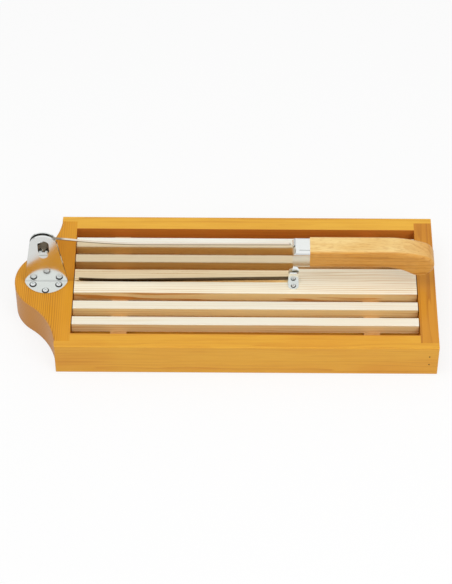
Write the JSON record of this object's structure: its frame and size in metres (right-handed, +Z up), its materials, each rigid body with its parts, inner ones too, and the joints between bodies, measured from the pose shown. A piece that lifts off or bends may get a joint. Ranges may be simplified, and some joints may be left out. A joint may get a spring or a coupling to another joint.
{
  "type": "bread guillotine slicer",
  "caption": "Bread slicer with a slatted wooden bed over a crumb tray and a long blade that swings on a pin between two slotted steel cheeks.",
  "frame": {"origin": "on the table, under the middle of the whole length (nose tip to end rail) and depth", "axes": "+X from the round nose to the handle, +Y away from the viewer, +Z up"},
  "size_m": [0.469, 0.194, 0.1187],
  "materials": {
    "varnished_wood": "clear gloss varnish, honey colour",
    "pale_wood": "planed, pale",
    "beech": "sanded and oiled",
    "bright_steel": "polished",
    "blade_steel": "mirror polished",
    "plain_steel": "plain"
  },
  "bodies": {
    "base": {"front_rail": "varnished_wood", "back_rail": "varnished_wood", "nose_board": "varnished_wood", "end_rail": "varnished_wood", "bottom_panel": "varnished_wood", "front_ledge": "varnished_wood", "back_ledge": "varnished_wood", "rail_brads": "plain_steel", "nose_tenons": "pale_wood", "ledge_brads": "plain_steel", "slat_front_outer": "pale_wood", "slat_front_inner": "pale_wood", "slat_back_inner": "pale_wood", "slat_back_outer": "pale_wood", "centre_board": "pale_wood", "batten_left": "pale_wood", "batten_right": "pale_wood", "bed_brads": "plain_steel", "front_cheek": "bright_steel", "rear_cheek": "bright_steel", "cheek_screws": "bright_steel", "front_guide": "bright_steel", "rear_guide": "bright_steel", "guide_screws": "bright_steel"},
    "pivot": {"pivot_barrel": "bright_steel", "pivot_screw": "bright_steel"},
    "blade": {"blade": "blade_steel", "ferrule": "bright_steel", "handle": "beech"}
  },
  "joints": [
    {"name": "pin_lift", "type": "slide", "parent": "base", "child": "pivot", "axis": [0, 0, 1], "range_m": [0, 0.011]},
    {"name": "blade_swing", "type": "hinge", "parent": "pivot", "child": "blade", "pos_m": [-0.199, 0, 0.095], "axis": [0, -1, 0], "range_deg": [0, 95]}
  ]
}
